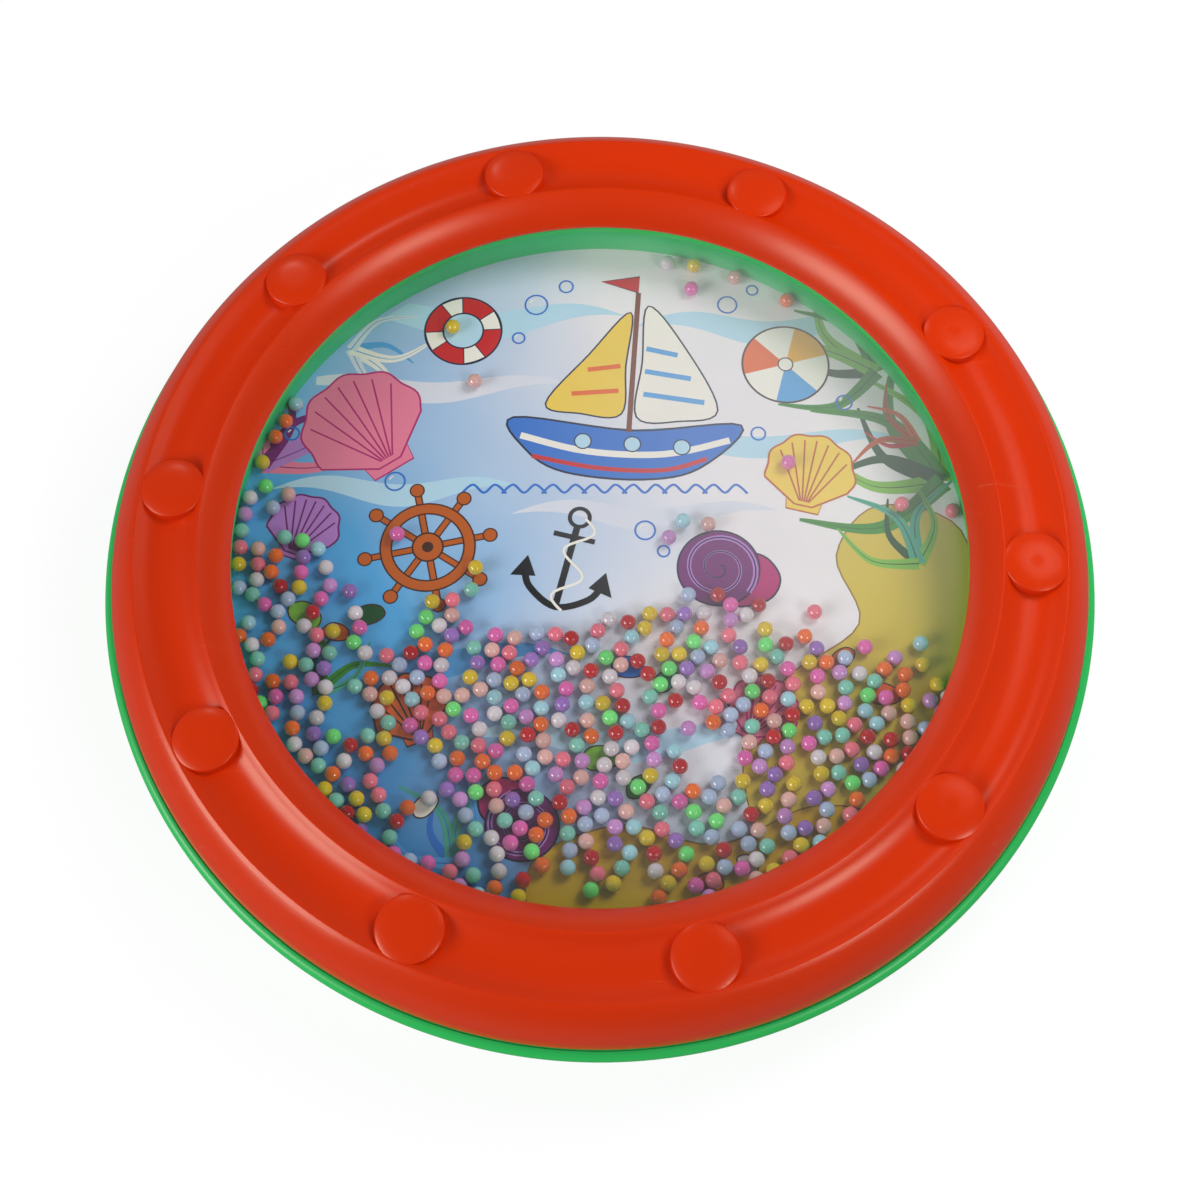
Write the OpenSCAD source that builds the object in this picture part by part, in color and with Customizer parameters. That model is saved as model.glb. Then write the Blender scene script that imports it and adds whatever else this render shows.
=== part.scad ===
/* [Overall] */
// Diameter of the open window inside the front and back lips
window_d = 154.6; // [130:0.2:190]
// Width of the slope from the window to the inner ridge of the rim channel
slope_w = 5.5; // [4.8:0.1:7]
// Width of the rim channel, from ridge to ridge
channel_w = 13; // [11.4:0.1:16]
// Width of the shoulder, from the outer ridge to the outside of the front rim
shoulder_w = 7.2; // [6:0.1:9]
// Width by which the flange of the back shell stands out past the front rim
flange_w = 2; // [1.4:0.1:2.8]
// Clear height between the two heads, in which the beads roll
chamber_h = 11.8; // [9:0.1:16]

/* [Rim mouldings] */
// Wall thickness of the front rim and the back shell
wall_t = 1.8; // [1.4:0.05:1.85]
// Diameter of the rounded lips and ridges of both mouldings
ridge_d = 2.1; // [1.9:0.05:2.6]
// Height of the front slope from the lip up to the ridges
front_rise = 6.3; // [4.5:0.1:8]
// Height of the back slope from the ridges up to the lip
back_rise = 4.1; // [3:0.1:6]
// Depth of the rounded channel between the two ridges
channel_depth = 2.4; // [1.6:0.1:3]
// Height from the front ridges down to the lower edge of the front rim
shoulder_h = 10.1; // [9:0.1:12]
// Extra height at which the curve of the front shoulder would stand upright
shoulder_tail = 2; // [0.5:0.1:4]
// Width of the flat foot at the outer ridge of the back shell
foot_w = 4; // [3.6:0.1:5]
// Height of the flat foot
foot_h = 2; // [1.9:0.1:3]
// Thickness of the flange round the back shell
flange_t = 3.2; // [2.4:0.1:3.4]
// Diameter of the rounded bead along the edge of the flange
flange_bead_d = 3.7; // [3.5:0.1:4.6]
// Gap between the lower edge of the front rim and the flange
flange_gap = 0.6; // [0.3:0.1:1.2]
// Thickness of the locating spigot inside the front rim
spigot_t = 1.4; // [1:0.1:2]
// Height of the locating spigot above the flange
spigot_h = 2; // [1:0.1:3]
// Clearance between the spigot and the wall of the front rim
spigot_gap = 0.35; // [0.2:0.05:0.6]
// Thickness of the stiffening ribs under the channels
rib_t = 1.2; // [0.8:0.1:1.8]
// Gap between the stiffening ribs and the plane of the head rings
rib_gap = 0.3; // [0.2:0.1:1]
// Thickness of the round rib that presses on each head ring
press_rib_t = 1.4; // [1:0.1:2]

/* [Bosses and screws] */
// Number of round bosses, and of the screws below them
boss_count = 10; // [6:1:12]
// Angle of the first boss
boss_turn = 30.65; // [0:0.05:36]
// Width by which a round boss is wider than the channel between the ridges
boss_lap = 0.4; // [0.1:0.1:1]
// Depth of the boss tops below the ridge tops
boss_drop = 0.2; // [0.1:0.1:1]
// Rise of the dome on a boss, from its rounded edge to its middle
boss_dome = 0.5; // [0.2:0.1:1]
// Radius of the rounded edge of a boss
boss_round = 0.9; // [0.4:0.1:1.4]
// Width of the hollow ring left between a boss and its screw tower
boss_core = 1.2; // [0.8:0.1:1.6]
// Diameter of a screw tower inside the front rim
tower_d = 7.4; // [6:0.1:8]
// Material left above the end of a pilot hole
pilot_cap = 3.4; // [2.4:0.1:4]
// Diameter of the pilot hole in a screw tower
pilot_d = 3; // [2.95:0.01:3.2]
// Room left in a pilot hole beyond the end of the screw
pilot_room = 1.2; // [0.6:0.1:2]
// Diameter of a screw's shank
screw_d = 2.9; // [2.5:0.05:2.9]
// Length of a screw below its head
screw_l = 14; // [12:0.5:15]
// Diameter of a screw's head
screw_head_d = 5.6; // [5:0.1:6]
// Height of a screw's head
screw_head_h = 2.1; // [1.6:0.1:2.6]
// Outside diameter of a screw well in the back shell
well_d = 8.8; // [8.2:0.1:9]
// Clearance round the screw's head in its well
well_gap = 0.4; // [0.2:0.05:0.6]
// Thickness of the seat that the screw's head pulls on
seat_t = 2.2; // [1.6:0.1:3]
// Clearance round the shank in its seat
shank_gap = 0.25; // [0.1:0.05:0.4]

/* [Heads and chamber] */
// Thickness of the chamber hoop
hoop_t = 1.6; // [1.2:0.1:2]
// Thickness of the clear head
clear_t = 0.25; // [0.15:0.05:0.4]
// Thickness of the printed head
print_t = 0.3; // [0.2:0.05:0.4]
// Height of the turned edge of each head
turned_h = 3.4; // [2:0.1:5]
// Thickness of the flat part of each head ring
ring_t = 1.8; // [1.2:0.1:2.4]
// Thickness of the skirt of each head ring
skirt_t = 1.2; // [0.8:0.1:1.4]
// Height of the skirt of each head ring
skirt_h = 4.6; // [2:0.1:5]
// Set-back of the head rings behind the edge of the lips
ring_step = 0.45; // [0.2:0.05:1]
// Clearance between hoop, turned edges, skirts and screw wells
fit_gap = 0.1; // [0.05:0.01:0.2]

/* [Beads] */
// Diameter of a bead
bead_d = 3.4; // [3:0.1:3.8]
// Clearance between beads, and between a bead and the wall or the printed head
bead_gap = 0.12; // [0.08:0.01:0.2]
// Beads poured in, of which those that find room stay
pour_count = 640; // [300:10:900]
// Places tried for each poured bead, of which the lowest is taken
pour_choices = 7; // [2:1:10]
// Seed of the pouring order
pour_seed = 7; // [1:1:99]
// Seed of the bead colours
shade_seed = 5; // [1:1:99]

/* [Hidden] */
$fn = 96;
// Overrun of every cut past the face that it opens
cut = 0.5;

// Heights of the stacked pieces above the table
back_ridge_z = ridge_d / 2;
back_lip_z = back_ridge_z + back_rise;
print_ring_z = back_lip_z + ridge_d / 2;
print_z = print_ring_z + ring_t;
chamber_z = print_z + print_t;
clear_z = chamber_z + chamber_h;
clear_ring_z = clear_z + clear_t;
clear_ring_top = clear_ring_z + ring_t;
front_lip_z = clear_ring_top + ridge_d / 2;
front_ridge_z = front_lip_z + front_rise;
front_top = front_ridge_z + ridge_d / 2;
rim_edge_z = front_ridge_z - shoulder_h;
flange_top = rim_edge_z - flange_gap;
flange_z = flange_top - flange_bead_d / 2;
boss_top = front_top - boss_drop;
pilot_top = boss_top - pilot_cap;
seat_z = pilot_top - pilot_room - screw_l;
tower_foot = seat_z + seat_t;

// Radii of the section and of the circles of parts
lip_r = window_d / 2 + ridge_d / 2;
crest_r = window_d / 2 + slope_w;
crease_r = crest_r + channel_w;
rim_wall_r = crease_r + shoulder_w - wall_t / 2;
flange_r = crease_r + shoulder_w + flange_w - flange_bead_d / 2;
boss_circle = (crest_r + crease_r) / 2;
boss_d = channel_w + boss_lap;
skirt_r = boss_circle - well_d / 2 - fit_gap;
turned_r = skirt_r - skirt_t - fit_gap;
hoop_r = turned_r - max(clear_t, print_t) - fit_gap;
chamber_r = hoop_r - hoop_t;
ring_in_r = window_d / 2 + ring_step;

// Curves of the section: the channel, the front shoulder and the back shoulder
channel_r = arc_radius(channel_w, channel_depth);
channel_half = asin(channel_w / 2 / channel_r);
front_tail = rim_edge_z - shoulder_tail;
front_shoulder_r = bend_radius(rim_wall_r - crease_r, front_ridge_z - front_tail);
back_heel_r = crease_r + foot_w / 2;
back_tail = flange_z - back_ridge_z;
back_shoulder_r = bend_radius(rim_wall_r - back_heel_r, back_tail);
spigot_top = flange_top + spigot_h;
spigot_r = rim_wall_r - front_shoulder_r - spigot_gap
    + sqrt(pow(front_shoulder_r - wall_t / 2, 2) - pow(spigot_top - front_tail, 2));

// Depth in the channel at which bosses and wells start inside its wall, as a share of its depth
root_share = 0.8;
// Places of the dome's points, as shares of the radius inside the rounded edge
dome_shares = [1, 0.75, 0.5, 0.25];
// Cross recess of a screw, as shares of its head
recess_long_share = 0.6;
recess_wide_share = 0.16;
recess_deep_share = 0.5;
// Dome of a screw's head and length of its point, as shares of the head's height
dome_share = 0.45;
point_share = 0.7;

// Beads: reach of their centres, and least distance from bead to bead
reach = chamber_r - bead_d / 2 - bead_gap;
pitch = bead_d + bead_gap;
bead_z = chamber_z + bead_gap + bead_d / 2;
shade_count = 13;
bead_facets = 48;
// Width of the strips in which the poured beads are kept
strip_w = 2 * pitch;
strip_count = ceil(2 * reach / strip_w) + 1;
// Far edge of the bead bed, as shares of the reach across and away
edge_shares = [[-1, 0.02], [-0.8, 0.03], [-0.7, -0.05], [-0.6, -0.27], [-0.53, -0.27], [-0.45, -0.13],
    [-0.3, -0.2], [-0.1, -0.21], [0.05, -0.16], [0.35, -0.12], [0.5, -0.22], [0.8, -0.28], [1, -0.4]];
// Bare patches in the bed: place across, place away and radius as shares of the reach
patch_shares = [[-0.67, -0.31, 0.06], [-0.66, -0.43, 0.07], [-0.49, -0.6, 0.08], [-0.42, -0.74, 0.08],
    [-0.12, -0.9, 0.07], [0.02, -0.94, 0.06], [0.28, -0.54, 0.08], [0.2, -0.45, 0.05]];
// Beads that lie free on the printed head, as shares of the reach
loose_shares = [[0.2, 0.96], [-0.36, 0.56], [0.53, 0.3], [0.84, 0.17], [0.23, 0.12], [-0.56, 0.08],
    [-0.34, -0.02], [-0.43, 0.74]];
// Strays of the bed: place across and away as shares of the reach, and number of the colour
stray_shares = [[0.28, 0.95, 2], [0.4, 0.91, 11], [0.27, 0.87, 9], [0.55, 0.83, 1], [0.98, 0.15, 10],
    [0.3, 0.11, 11], [0.19, 0.07, 8], [0.24, -0.1, 6], [0.32, -0.1, 0], [0.43, -0.13, 0],
    [0.58, -0.15, 10], [0.55, -0.22, 1], [0.71, -0.25, 9], [0.86, -0.24, 5], [0.86, -0.3, 2],
    [-0.35, -0.085, 4], [-0.4, -0.115, 10], [-0.455, -0.12, 2], [-0.68, -0.09, 7], [-0.87, 0.485, 5],
    [-0.895, 0.43, 1], [-0.92, 0.38, 1], [-0.95, 0.3, 2], [-0.935, 0.225, 3], [-0.87, 0.2, 11],
    [-0.975, 0.19, 12], [-0.91, 0.16, 6], [-0.985, 0.14, 8], [-0.99, 0.09, 4], [-0.99, 0.04, 10],
    [-0.94, 0.035, 11], [-0.99, -0.01, 2], [-0.89, 0.015, 1], [-0.87, 0.07, 4], [-0.82, 0.06, 3],
    [-0.775, 0.035, 5], [-0.75, -0.02, 12]];

// Radius of the arc over a chord with a given rise
function arc_radius(chord, rise) = (chord * chord / 4 + rise * rise) / 2 / rise;

// Radius of the bend that starts upright and has moved in by a run over a height
function bend_radius(run, height) = (run * run + height * height) / 2 / run;

// Straight stretch of wall between two points of its centre line
module web(from, to) {
    run = to - from;
    translate(from)
        rotate(atan2(run[1], run[0]))
            translate([0, -wall_t / 2])
                square([norm(run), wall_t]);
}

// Rounded lip or ridge at the end of a stretch of wall
module ridge(at) {
    translate(at)
        circle(d = ridge_d);
}

// Curved stretch of wall between two angles
module bend(centre, radius, from, to) {
    far = 2 * radius;
    intersection() {
        translate(centre)
            difference() {
                circle(radius + wall_t / 2);
                circle(radius - wall_t / 2);
            }
        polygon([centre, centre + far * [cos(from), sin(from)], centre + far * [cos(to), sin(to)]]);
    }
}

// Slope, ridges and channel of a moulding whose ridges point up; rise is the height of the slope
module channel_section(rise) {
    lip = [lip_r, -rise];
    crest = [crest_r, 0];
    crease = [crease_r, 0];
    ridge(lip);
    web(lip, crest);
    ridge(crest);
    bend([boss_circle, channel_r - channel_depth], channel_r, -90 - channel_half, -90 + channel_half);
    ridge(crease);
}

// Round rib behind the slope that presses on a head ring
module press_rib_section(rise) {
    inner = crest_r - press_rib_t;
    polygon([[inner, -rise - ridge_d / 2], [crest_r, -rise - ridge_d / 2], [crest_r, 0],
        [inner, -rise * press_rib_t / (crest_r - lip_r)]]);
}

module front_section() {
    centre = [rim_wall_r - front_shoulder_r, front_tail];
    translate([0, front_ridge_z]) {
        channel_section(front_rise);
        press_rib_section(front_rise);
    }
    bend(centre, front_shoulder_r, asin(shoulder_tail / front_shoulder_r),
        atan2(front_ridge_z - front_tail, crease_r - centre[0]));
}

module back_section() {
    translate([0, back_ridge_z])
        mirror([0, 1]) {
            channel_section(back_rise);
            press_rib_section(back_rise);
            bend([rim_wall_r - back_shoulder_r, -back_tail], back_shoulder_r, 0,
                atan2(back_tail, back_heel_r - rim_wall_r + back_shoulder_r));
        }
    translate([crease_r - foot_w / 4, 0])
        square([foot_w, foot_h]);
    translate([flange_r, flange_z])
        circle(d = flange_bead_d);
    translate([spigot_r - spigot_t, flange_z - flange_t / 2])
        square([flange_r - spigot_r + spigot_t, flange_t]);
    translate([spigot_r - spigot_t, flange_z])
        square([spigot_t, spigot_top - flange_z]);
}

// Copies at the places of the bosses, or halfway between them
module round_the_rim(turn = 0) {
    for (i = [0 : boss_count - 1])
        rotate(boss_turn + (i + turn) * 360 / boss_count)
            children();
}

// Stiffening ribs under a channel whose ridges point up; rise is the height of the slope
module ribs(rise) {
    rib_h = rise + ridge_d / 2 - rib_gap;
    round_the_rim(0.5)
        rotate([90, 0, 0])
            linear_extrude(rib_t, center = true)
                difference() {
                    translate([crest_r - press_rib_t / 2, -rib_h])
                        square([channel_w + press_rib_t / 2, rib_h]);
                    translate([boss_circle, channel_r - channel_depth])
                        circle(channel_r);
                }
}

// Outside of one boss, with its rounded edge and its dome
module boss() {
    root = front_ridge_z - channel_depth * root_share;
    edge_r = boss_d / 2 - boss_round;
    edge_z = boss_top - boss_dome - boss_round;
    rotate_extrude()
        polygon([[0, root], [boss_d / 2, root],
            for (turn = [0 : 15 : 75]) [edge_r + boss_round * cos(turn), edge_z + boss_round * sin(turn)],
            for (share = dome_shares) [edge_r * share, boss_top - boss_dome * share * share], [0, boss_top]]);
}

module front_rim() {
    core_r = tower_d / 2 + boss_core;
    color("#df4a1a")
        difference() {
            union() {
                difference() {
                    union() {
                        rotate_extrude()
                            front_section();
                        round_the_rim()
                            translate([boss_circle, 0])
                                boss();
                    }
                    round_the_rim()
                        translate([boss_circle, 0, tower_foot])
                            cylinder(boss_top - wall_t - tower_foot, r = core_r);
                }
                round_the_rim()
                    translate([boss_circle, 0, tower_foot])
                        cylinder(boss_top - wall_t / 2 - tower_foot, d = tower_d);
                translate([0, 0, front_ridge_z])
                    ribs(front_rise);
            }
            round_the_rim()
                translate([boss_circle, 0, tower_foot - cut])
                    cylinder(pilot_top - tower_foot + cut, d = pilot_d);
        }
}

module back_shell() {
    well_root = back_ridge_z + channel_depth * root_share;
    color("#2cb95a")
        difference() {
            union() {
                rotate_extrude()
                    back_section();
                round_the_rim()
                    translate([boss_circle, 0, well_root])
                        cylinder(tower_foot - well_root, d = well_d);
                translate([0, 0, back_ridge_z])
                    mirror([0, 0, 1])
                        ribs(back_rise);
            }
            round_the_rim()
                translate([boss_circle, 0, -cut])
                    cylinder(seat_z + cut, d = screw_head_d + 2 * well_gap);
            round_the_rim()
                translate([boss_circle, 0, seat_z - cut])
                    cylinder(seat_t + 2 * cut, d = screw_d + 2 * shank_gap);
        }
}

module chamber_hoop() {
    color("#2cb95a")
        translate([0, 0, chamber_z])
            rotate_extrude()
                translate([chamber_r, 0])
                    square([hoop_t, chamber_h]);
}

// Film stretched over the hoop, with its edge turned along the outside of the hoop
module head(film_t) {
    rotate_extrude() {
        square([turned_r, film_t]);
        translate([turned_r - film_t, 0])
            square([film_t, film_t + turned_h]);
    }
}

module clear_head() {
    color("#dfe8ec", 0.35)
        translate([0, 0, clear_ring_z])
            mirror([0, 0, 1])
                head(clear_t);
}

module print_head() {
    color("#a9c9dd")
        translate([0, 0, print_z])
            head(print_t);
}

// Ring that clamps the edge of a head, with a skirt outside the turned film
module head_ring() {
    rotate_extrude() {
        translate([ring_in_r, 0])
            square([skirt_r - ring_in_r, ring_t]);
        translate([skirt_r - skirt_t, 0])
            square([skirt_t, ring_t + skirt_h]);
    }
}

module clear_head_ring() {
    color("#2cb95a")
        translate([0, 0, clear_ring_top])
            mirror([0, 0, 1])
                head_ring();
}

module print_head_ring() {
    color("#2cb95a")
        translate([0, 0, print_ring_z])
            head_ring();
}

// One screw with its head down: a domed head with a cross recess, and a pointed shank
module screw() {
    dome_h = screw_head_h * dome_share;
    point_l = screw_head_h * point_share;
    difference() {
        union() {
            translate([0, 0, -screw_head_h + dome_h])
                cylinder(screw_head_h - dome_h, d = screw_head_d);
            translate([0, 0, -screw_head_h])
                cylinder(dome_h, d1 = screw_head_d - 2 * dome_h, d2 = screw_head_d);
            cylinder(screw_l - point_l, d = screw_d);
            translate([0, 0, screw_l - point_l])
                cylinder(point_l, d1 = screw_d, d2 = screw_d / 3);
        }
        for (turn = [0, 90])
            rotate(turn)
                translate([-screw_head_d * recess_long_share / 2, -screw_head_d * recess_wide_share / 2,
                        -screw_head_h - cut])
                    cube([screw_head_d * recess_long_share, screw_head_d * recess_wide_share,
                        screw_head_h * recess_deep_share + cut]);
    }
}

module rim_screws() {
    color("#b9bcc0")
        round_the_rim()
            translate([boss_circle, 0, seat_z])
                screw();
}

// Distance away at which a bead that rolls in along a line across stops: at the wall or at a bead
function stop(across, near) = max([-sqrt(reach * reach - across * across), for (b = near)
    if (abs(b[0] - across) < pitch) b[1] + sqrt(pitch * pitch - pow(b[0] - across, 2))]);

// The same distance, moved to the far edge of a bare patch that it lies in
function past_patch(across, away) = max([away, for (p = patch_shares * reach)
    if (norm([across - p[0], away - p[1]]) < p[2]) p[1] + sqrt(p[2] * p[2] - pow(across - p[0], 2))]);

function strip(across) = floor((across + reach) / strip_w);

// Beads in the strip of a place and in the strips on both sides of it
function near_beads(across, strips) =
    [for (i = [strip(across) - 1 : strip(across) + 1]) if (i >= 0 && i < strip_count) each strips[i]];

function lowest(spots) = let (floor_at = min([for (s = spots) s[1]])) [for (s = spots) if (s[1] == floor_at) s][0];

function is_clear(spot, beads) = len([for (b = beads) if (norm(spot - [b[0], b[1]]) < pitch) b]) == 0;

// Room for a poured bead: short of the bed's far edge, inside the wall and clear of the placed beads
function has_room(spot, placed) = norm(spot) <= reach
    && spot[1] < reach * lookup(spot[0] / reach, edge_shares) && is_clear(spot, placed);

// The strips after one more bead is poured in
function settle(strips, placed, turn) =
    let (spots = [for (across = rands(-reach, reach, pour_choices, pour_seed + turn))
             [across, past_patch(across, stop(across, near_beads(across, strips)))]],
         open_spots = [for (s = spots) if (has_room(s, placed)) s])
    len(open_spots) == 0 ? strips
        : let (spot = lowest(open_spots))
            [for (i = [0 : strip_count - 1]) i == strip(spot[0]) ? concat(strips[i], [spot]) : strips[i]];

// The whole bed: every poured bead that found room
function poured(placed) = [for (turn = 0, strips = [for (i = [1 : strip_count]) []]; turn <= pour_count;
    strips = settle(strips, placed, turn), turn = turn + 1) if (turn == pour_count) for (s = strips) each s];

function loose_beads() = loose_shares * reach;

// Strays that are clear of the loose beads and of the strays before them
function strays(kept = [], next = 0) = next == len(stray_shares) ? kept
    : let (s = stray_shares[next], spot = [s[0], s[1]] * reach)
        strays(is_clear(spot, concat(kept, loose_beads())) ? concat(kept, [[spot[0], spot[1], s[2]]]) : kept,
            next + 1);

module bead(at) {
    translate([at[0], at[1], bead_z])
        sphere(d = bead_d, $fn = bead_facets);
}

// All beads of one colour in the bed, strays included
module bead_bed(shade) {
    placed = strays();
    bed = poured(concat(placed, loose_beads()));
    shades = rands(0, shade_count, len(bed), shade_seed);
    for (i = [0 : len(bed) - 1])
        if (floor(shades[i]) == shade)
            bead(bed[i]);
    for (b = placed)
        if (b[2] == shade)
            bead(b);
}

module beads_red() {
    color("#be1e2d")
        bead_bed(0);
}

module beads_orange() {
    color("#e46c2e")
        bead_bed(1);
}

module beads_yellow() {
    color("#dfc534")
        bead_bed(2);
}

module beads_green() {
    color("#5fe873")
        bead_bed(3);
}

module beads_aqua() {
    color("#7bcab0")
        bead_bed(4);
}

module beads_sky() {
    color("#9bd3e0")
        bead_bed(5);
}

module beads_periwinkle() {
    color("#a8bbe2")
        bead_bed(6);
}

module beads_purple() {
    color("#9670c8")
        bead_bed(7);
}

module beads_lilac() {
    color("#c98fd2")
        bead_bed(8);
}

module beads_magenta() {
    color("#dc62b2")
        bead_bed(9);
}

module beads_pink() {
    color("#ec7084")
        bead_bed(10);
}

module beads_peach() {
    color("#ecb6ab")
        bead_bed(11);
}

module beads_white() {
    color("#e4dbe2")
        bead_bed(12);
}

module loose_bead_white() {
    color("#e4dbe2")
        bead(loose_beads()[0]);
}

module loose_bead_peach() {
    color("#ecb6ab")
        bead(loose_beads()[1]);
}

module loose_bead_magenta() {
    color("#dc62b2")
        bead(loose_beads()[2]);
}

module loose_bead_pink() {
    color("#ec7084")
        bead(loose_beads()[3]);
}

module loose_bead_sky() {
    color("#9bd3e0")
        bead(loose_beads()[4]);
}

module loose_bead_rose() {
    color("#dc62b2")
        bead(loose_beads()[5]);
}

module loose_bead_yellow() {
    color("#dfc534")
        bead(loose_beads()[6]);
}

module loose_bead_gold() {
    color("#dfc534")
        bead(loose_beads()[7]);
}

front_rim();
back_shell();
chamber_hoop();
clear_head();
clear_head_ring();
print_head();
print_head_ring();
rim_screws();
beads_red();
beads_orange();
beads_yellow();
beads_green();
beads_aqua();
beads_sky();
beads_periwinkle();
beads_purple();
beads_lilac();
beads_magenta();
beads_pink();
beads_peach();
beads_white();
loose_bead_white();
loose_bead_peach();
loose_bead_magenta();
loose_bead_pink();
loose_bead_sky();
loose_bead_rose();
loose_bead_yellow();
loose_bead_gold();
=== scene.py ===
import math
import random

import bmesh
import bpy
import numpy as np
from mathutils import Matrix, Vector


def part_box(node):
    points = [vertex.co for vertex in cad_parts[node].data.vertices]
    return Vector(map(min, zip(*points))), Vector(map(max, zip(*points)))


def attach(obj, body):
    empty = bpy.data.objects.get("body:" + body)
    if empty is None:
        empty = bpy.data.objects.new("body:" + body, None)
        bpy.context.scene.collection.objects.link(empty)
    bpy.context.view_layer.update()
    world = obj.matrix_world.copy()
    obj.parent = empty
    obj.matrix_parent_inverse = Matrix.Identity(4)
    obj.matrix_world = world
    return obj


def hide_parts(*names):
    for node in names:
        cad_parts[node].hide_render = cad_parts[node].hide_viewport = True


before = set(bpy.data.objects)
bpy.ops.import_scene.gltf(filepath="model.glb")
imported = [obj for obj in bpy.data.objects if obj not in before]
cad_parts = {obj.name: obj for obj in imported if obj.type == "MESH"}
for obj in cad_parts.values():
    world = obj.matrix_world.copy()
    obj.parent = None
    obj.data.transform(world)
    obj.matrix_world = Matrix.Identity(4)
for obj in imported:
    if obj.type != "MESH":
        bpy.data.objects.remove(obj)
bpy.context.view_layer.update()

MM = 0.001
# Steps round the drum's axis in everything that is turned about it
SEGMENTS = 480

# Sizes of the mouldings in millimetres, as in the part's source
WALL = 1.8
EDGE_ROUND = 1.05
LIP_IN = 77.3
CREST = 82.8
CREASE = 95.8
CHANNEL_DEPTH = 2.4
RIM_OUT = 103.0
RIM_EDGE_HEIGHT = 19.4
SHOULDER_TAIL = 2.0
FLANGE_OUT = 105.0
FLANGE_BEAD = 3.7
FLANGE_T = 3.2
FLANGE_GAP = 0.6
FOOT_WIDTH = 4.0
SPIGOT_R = 100.43
SPIGOT_T = 1.4
SPIGOT_TOP = 20.8
BOSS_CIRCLE = (CREST + CREASE) / 2
BOSS_COUNT = 10
BOSS_TURN = 30.65
# Depth in the channel at which bosses and wells start inside its wall, as a share of its depth
ROOT_SHARE = 0.8
# Inner corner of a lip's wall: how far it lies outside and behind the middle of the lip's round
LIP_CORNER_OUT = 1.2
LIP_CORNER_BACK = 0.6
WELL_BORE = 6.4
WELL_OUT = 8.8
SHANK_HOLE = 3.4
SEAT_Z = 11.75
SEAT_T = 2.2

# Sizes of the chamber, its heads and their rings, as in the part's source
CHAMBER_R = 81.5
HOOP_T = 1.6
CLEAR_T = 0.25
PRINT_T = 0.3
HEAD_EDGE = 83.5
RING_T = 1.8
RING_IN = LIP_IN + 0.45
RING_OUT = 84.8
SKIRT_T = 1.2
SKIRT_H = 4.6

# Finer forms than the source has: the front rim's ridges lie a little lower, its slope to the window is
# bowed, and its bosses have a softer dome, with a round at the edge that turns through BOSS_LEAN degrees
RIDGE_DROP = 0.5
RIDGE_ROUND = 0.38
SLOPE_BOW = 0.5
BOSS_D = 13.2
BOSS_DOME = 0.85
BOSS_POWER = 3.6
BOSS_EDGE = 0.45
BOSS_LEAN = 63
# Rounds of the back shell's ridge and foot, of the hoop and of the rings, and the film's bend and turned edge
CREST_ROUND = 0.6
FOOT_ROUND = 0.4
HOOP_ROUND = 0.25
RING_ROUND = 0.3
HEAD_BEND = 0.8
HEAD_TURNED = 3.6
# Degrees by which an arc stops short of a sharp corner
EASE = 1.5


def top(cad_node):
    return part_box(cad_node)[1].z / MM


def foot(cad_node):
    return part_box(cad_node)[0].z / MM


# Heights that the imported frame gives
RIM_TOP = top("front_rim")
RIM_EDGE = foot("back_shell") + RIM_EDGE_HEIGHT
CLEAR_TOP = top("clear_head")
CHAMBER_LOW = foot("chamber_hoop")
CHAMBER_HIGH = top("chamber_hoop")
PRINT_LOW = foot("print_head")
RING_TOP = top("clear_head_ring")
RING_LOW = foot("print_head_ring")
# Height of the middle of the front rim's ridges
RIDGE_Z = RIM_TOP - EDGE_ROUND - RIDGE_DROP

# Reach of the printed picture, the height from one of its shapes to the next, and the width of its outlines
PRINT_R = CHAMBER_R - 0.2
PRINT_STEP = 0.0003
OUTLINE = 0.35


# Mesh helpers

def piece(name, verts, faces, body, slot, materials, nodes=(), face_mats=None, sharp=35):
    """One object of the drum: its mesh in millimetres, its body and the CAD nodes it stands for; slot is not
    used.
    """
    mesh = bpy.data.meshes.new(name)
    mesh.from_pydata([tuple(c * MM for c in v) for v in verts], [], faces)
    for material in materials:
        mesh.materials.append(material)
    if face_mats is not None:
        mesh.polygons.foreach_set("material_index", face_mats)
    mesh.polygons.foreach_set("use_smooth", [True] * len(mesh.polygons))
    mesh.validate()
    mesh.update()
    mesh.set_sharp_from_angle(angle=math.radians(sharp))
    thing = bpy.data.objects.new(name, mesh)
    bpy.context.scene.collection.objects.link(thing)
    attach(thing, body)
    if nodes:
        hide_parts(*nodes)
    return thing


def on_circle(centre, radius, turn):
    """Point of a circle in the direction turn, in degrees."""
    t = math.radians(turn)
    return centre[0] + radius * math.cos(t), centre[1] + radius * math.sin(t)


def arc(centre, radius, start, end, count):
    """Points on an arc, both ends included; angles in degrees."""
    return [on_circle(centre, radius, start + (end - start) * i / count) for i in range(count + 1)]


def revolve(profile, segments=SEGMENTS):
    """Vertices and faces of a closed profile turned about the drum's axis."""
    verts = []
    for s in range(segments):
        turn = 2 * math.pi * s / segments
        c, d = math.cos(turn), math.sin(turn)
        verts += [(r * c, r * d, z) for r, z in profile]
    n = len(profile)
    faces = []
    for s in range(segments):
        near, far = s * n, (s + 1) % segments * n
        faces += [(near + i, far + i, far + (i + 1) % n, near + (i + 1) % n) for i in range(n)]
    return verts, faces


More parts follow.
